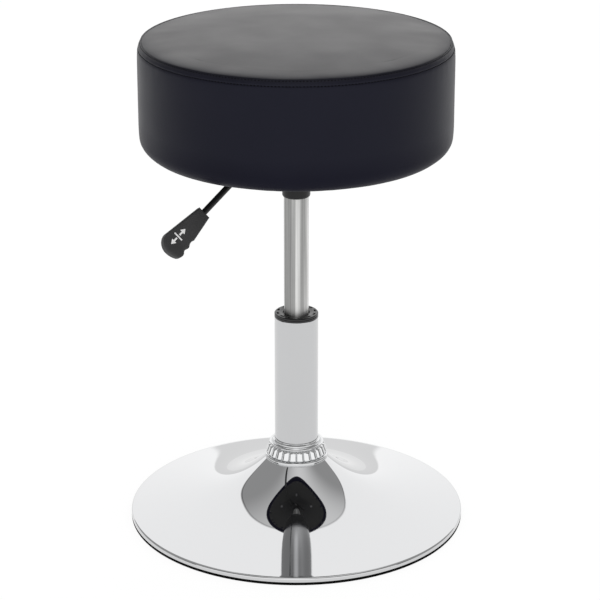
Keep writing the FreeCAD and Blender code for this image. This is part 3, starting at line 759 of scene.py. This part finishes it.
def make_top(swell, skin):
    """Top panel: an even grid in the middle, then rings out to the seam and a turned-in edge."""
    cells, core_r = 96, 144 * MM
    flat, faces = [], []
    for j in range(cells + 1):
        for i in range(cells + 1):
            u, v = 2 * i / cells - 1, 2 * j / cells - 1
            x, y = u * math.sqrt(1 - v * v / 2), v * math.sqrt(1 - u * u / 2)
            flat.append((x * core_r, y * core_r))
    for j in range(cells):
        for i in range(cells):
            a = j * (cells + 1) + i
            faces.append((a, a + 1, a + cells + 2, a + cells + 1))
    side = cells + 1
    last = cells * side
    edge = [i for i in range(cells)] + [cells + side * j for j in range(cells)]
    edge += [last + cells - i for i in range(cells)] + [last - side * j for j in range(cells)]
    angles = [math.atan2(flat[e][1], flat[e][0]) for e in edge]
    radii = [core_r + (SEAM_R - core_r) * (1 - (1 - i / 26) ** 1.7) for i in range(1, 27)]
    previous = edge
    for r in radii:
        first = len(flat)
        flat += [(r * math.cos(a), r * math.sin(a)) for a in angles]
        previous = add_ring(faces, previous, first)
    nominal = [top_nominal(x, y) for x, y in flat]
    lifts = relax([swell(p, out) for p, out in nominal], faces)
    verts = [p + out * (lift + top_dent(x, y)) for (p, out), lift, (x, y) in zip(nominal, lifts, flat)]
    for dr, dz in [(-1.2 * MM, -2.2 * MM), (-3.0 * MM, -4.6 * MM)]:
        first = len(verts)
        verts += ring_points(SEAM_R + dr, SEAM_Z + dz, angles)
        previous = add_ring(faces, previous, first)
    top = mesh_object("seat_top_panel", verts, faces)
    thicken(top)
    top.data.materials.append(skin)
    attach(top, "lift")
    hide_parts("cover_top_panel")


def add_ring(faces, previous, first):
    n = len(previous)
    for j in range(n):
        k = (j + 1) % n
        faces.append((previous[j], first + j, first + k, previous[k]))
    return list(range(first, first + n))


def stitch(verts, faces, centre, along, out, length, radius):
    """One thread: a short capsule that dips at both ends."""
    across = along.cross(out).normalized()
    sections, around = 7, 6
    first = len(verts)
    for i in range(sections):
        t = i / (sections - 1) * 2 - 1
        swell = math.sqrt(max(0.02, 1 - t ** 4)) * radius
        mid = centre + along * (t * length / 2) - out * (0.5 * MM * t ** 4)
        for j in range(around):
            a = 2 * math.pi * j / around
            verts.append(mid + across * (math.cos(a) * swell) + out * (math.sin(a) * swell))
    for i in range(sections - 1):
        for j in range(around):
            k = (j + 1) % around
            a, b = first + i * around, first + (i + 1) * around
            faces.append((a + j, a + k, b + k, b + j))
    faces.append(tuple(first + j for j in reversed(range(around))))
    faces.append(tuple(first + (sections - 1) * around + j for j in range(around)))


def make_stitches(surface, thread):
    """Two rows of thread: one close under the seam and one on the side of the band."""
    verts, faces = [], []
    rng = random.Random(7)
    reach = 15 * MM
    # distance below the seam, thickness of the thread and how far it stands out
    rows = ((STITCH_DROP, 0.46 * MM, 0.15 * MM), (1.7 * MM, 0.36 * MM, 0.10 * MM))
    for s, radius, rise in rows:
        count = int(2 * math.pi * SEAT_R / STITCH_PITCH)
        for i in range(count):
            a = 2 * math.pi * (i + 0.12 * (rng.random() - 0.5)) / count
            point, out = band_nominal(a, s)
            hit = surface.ray_cast(point + out * reach, -out, 2 * reach)[0]
            along = Vector((-math.sin(a), math.cos(a), 0.05 * (rng.random() - 0.5))).normalized()
            stitch(verts, faces, (hit or point) + out * rise, along, out, STITCH_PITCH * 0.66, radius)
    threads = mesh_object("seat_stitching", verts, faces)
    threads.data.materials.append(thread)
    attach(threads, "lift")


def make_foam():
    depth = 6.0 * MM
    profile = []
    for i in range(24, -1, -1):
        s = (BAND_LENGTH - (SEAT_R - EDGE_LOW_R - RETURN_R) - 1e-6) * i / 24
        (r, z), (nr, nz) = skin_point(s)
        profile.append((r - depth * nr, z - depth * nz))
    crown = [SEAM_R * (1 - i / 8) for i in range(1, 8)]
    profile += [(r - depth, crown_z(r) - depth) for r in crown]
    board_top, board_r, axis_r = 455.4 * MM, 156 * MM, 0.5 * MM
    profile += [(axis_r, TOP_Z - depth), (axis_r, board_top), (board_r, board_top)]
    foam = lathe("foam_pad", profile, 96)
    m = moulded("open_cell_foam", (0.62, 0.55, 0.36), 0.9, 900.0, 0.0004)
    foam.data.materials.append(m)
    sharpen(foam, 50)
    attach(foam, "lift")
    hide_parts("seat_foam")


# ---------------------------------------------------------------- printed mark on the handle
def handle_frame():
    """Matrix from the handle's own axes (x away from the neck, y to the fingers) to the frame."""
    slope = math.radians(LEVER_DROP)
    rod = Vector((math.cos(slope), 0, -math.sin(slope)))
    neck = Vector((BEND_X, 0, LEVER_Z)) + rod * HANDLE_START
    turn = Matrix.Rotation(math.radians(LEVER_AZIMUTH), 4, "Z")
    tilt = Matrix.Rotation(slope, 4, "Y") @ Matrix.Rotation(math.radians(HANDLE_ROLL), 4, "X")
    return turn @ Matrix.Translation(neck) @ tilt


def make_mark():
    """Generic white mark: an arrow up and an arrow down with a bar between them."""
    shaft, shaft_half, head_half, length = 4.6, 1.0, 3.3, 9.8
    arrow = [(0.0, shaft_half), (shaft, shaft_half), (shaft, head_half), (length, 0.0)]
    arrow += [(shaft, -head_half), (shaft, -shaft_half), (0.0, -shaft_half)]
    mid_x, mid_y = MARK_CENTRE
    bar = [(-0.8, -5.6), (0.8, -5.6), (0.8, 5.6), (-0.8, 5.6)]
    gap = 2.2
    upward = [(mid_x + gap + x, mid_y + y) for x, y in arrow]
    downward = [(mid_x - gap - x, mid_y - y) for x, y in arrow]
    between = [(mid_x + x, mid_y + y) for x, y in bar]
    verts, faces = [], []
    for shape in (upward, downward, between):
        n, first = len(shape), len(verts)
        for level in (MARK_LOW, MARK_HIGH):
            verts += [Vector((x * MM, y * MM, level)) for x, y in shape]
        faces.append(tuple(first + i for i in reversed(range(n))))
        faces.append(tuple(first + n + i for i in range(n)))
        for i in range(n):
            k = (i + 1) % n
            faces.append((first + i, first + k, first + n + k, first + n + i))
    mark = mesh_object("handle_mark", verts, faces, smooth=False)
    mark.data.transform(handle_frame())
    m = material("white_print", (0.75, 0.75, 0.74), 0.0, 0.5)
    worn = noise_of(m, coords(m), 900.0, 4.0)
    link(m, ramp(m, worn, [(0.3, 0.80), (0.6, 0.95)]), shader_of(m).inputs["Base Color"])
    mark.data.materials.append(m)
    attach(mark, "lever")


# ---------------------------------------------------------------- CAD parts that stay
def finish_of(slot):
    makers = {
        "plain_steel": lambda: bare_steel("mill_steel", (0.36, 0.36, 0.355), 0.38),
        "bearing_steel": lambda: bare_steel("polished_steel", (0.56, 0.56, 0.56), 0.16, (1, 1, 20)),
        # painted shade: zinc made far darker than plated zinc, as the fasteners look in the shade under the
        # seat
        "zinc_fastener": lambda: bare_steel("zinc_plate_in_painted_shade", (0.14, 0.14, 0.145), 0.5),
        "gas_tube_steel": lambda: ground_rod("ground_steel_spare"),
        "valve_alloy": lambda: bare_steel("turned_alloy", (0.62, 0.63, 0.64), 0.32, (1, 1, 30)),
        "chrome_base": lambda: chrome("chrome_base_spare"),
        "chrome_tube": lambda: chrome("chrome_tube_spare"),
        "chrome_collar": lambda: chrome("chrome_collar_spare"),
        "rim_rubber": lambda: matt_rubber("rim_rubber"),
        "seal_rubber": lambda: moulded("seal_rubber", (0.012, 0.012, 0.012), 0.55),
        "bumper_rubber": lambda: moulded("bumper_rubber", (0.014, 0.014, 0.014), 0.6),
        "bush_plastic": lambda: moulded("bush_plastic", (0.014, 0.014, 0.015), 0.28, 500.0),
        "cage_plastic": lambda: moulded("cage_plastic", (0.6, 0.56, 0.42), 0.45),
        "handle_plastic": handle_plastic,
        "black_paint": lambda: painted("black_paint", (0.007, 0.007, 0.0075), 0.38),
        "plywood": plywood,
        "foam": lambda: moulded("foam_spare", (0.62, 0.55, 0.36), 0.9),
        "black_leatherette": lambda: leatherette("leatherette_spare"),
        "black_nonwoven": nonwoven,
    }
    return makers[slot]()


def matt_rubber(name):
    m = moulded(name, (0.002, 0.002, 0.002), 0.9, 400.0)
    shader_of(m).inputs["Specular IOR Level"].default_value = 0.05
    return m


def handle_plastic():
    m = moulded("handle_plastic", (0.044, 0.044, 0.045), 0.55, 620.0, 0.0002)
    shader_of(m).inputs["Specular IOR Level"].default_value = 0.18
    return m


def plywood():
    m = material("plywood", (0.5, 0.36, 0.2), 0.0, 0.62)
    plies = node(m, "ShaderNodeTexWave", Scale=90.0, Distortion=1.2, bands_direction="Z")
    plies.inputs["Detail"].default_value = 2.0
    link(m, coords(m), plies.inputs["Vector"])
    grain = noise_of(m, coords(m, (14, 160, 14)), 5.0, 6.0)
    mix = node(m, "ShaderNodeMath", operation="MULTIPLY")
    link(m, plies.outputs["Fac"], mix.inputs[0])
    link(m, grain, mix.inputs[1])
    color = ramp(m, mix.outputs[0], [(0.1, (0.30, 0.19, 0.10)), (0.6, (0.56, 0.41, 0.24))])
    link(m, color, shader_of(m).inputs["Base Color"])
    link(m, bump(m, grain, 0.3, 0.0003), shader_of(m).inputs["Normal"])
    return m


def nonwoven():
    m = material("nonwoven", (0.012, 0.012, 0.012), 0.0, 0.9)
    fibres = noise_of(m, coords(m), 1500.0, 6.0, 0.8)
    dots = node(m, "ShaderNodeTexVoronoi", Scale=500.0)
    link(m, coords(m), dots.inputs["Vector"])
    pressed = bump(m, dots.outputs["Distance"], 0.5, 0.0002)
    link(m, bump(m, fibres, 0.5, 0.0002, pressed), shader_of(m).inputs["Normal"])
    link(m, ramp(m, fibres, [(0.35, 0.008), (0.65, 0.022)]), shader_of(m).inputs["Base Color"])
    return m


def dress_cad_nodes():
    """Every CAD node takes the finish of its slot."""
    made = {}
    for part in frame["record"]["subparts"]:
        slot = part["material_slot"]
        if slot not in made:
            made[slot] = finish_of(slot)
        obj = NODES[part["node"]]
        obj.data.materials.clear()
        obj.data.materials.append(made[slot])


# ---------------------------------------------------------------- build
make_camera()
make_floor()
make_world()
dress_cad_nodes()
make_dish()
make_tube()
make_collar()
make_gas_tube()
skin = leatherette("leatherette")
swell = swell_reader()
make_top(swell, skin)
band_surface = make_band(swell, skin)
make_stitches(band_surface, thread_material())
make_mark()
make_foam()
bpy.context.scene.view_settings.view_transform = "Standard"
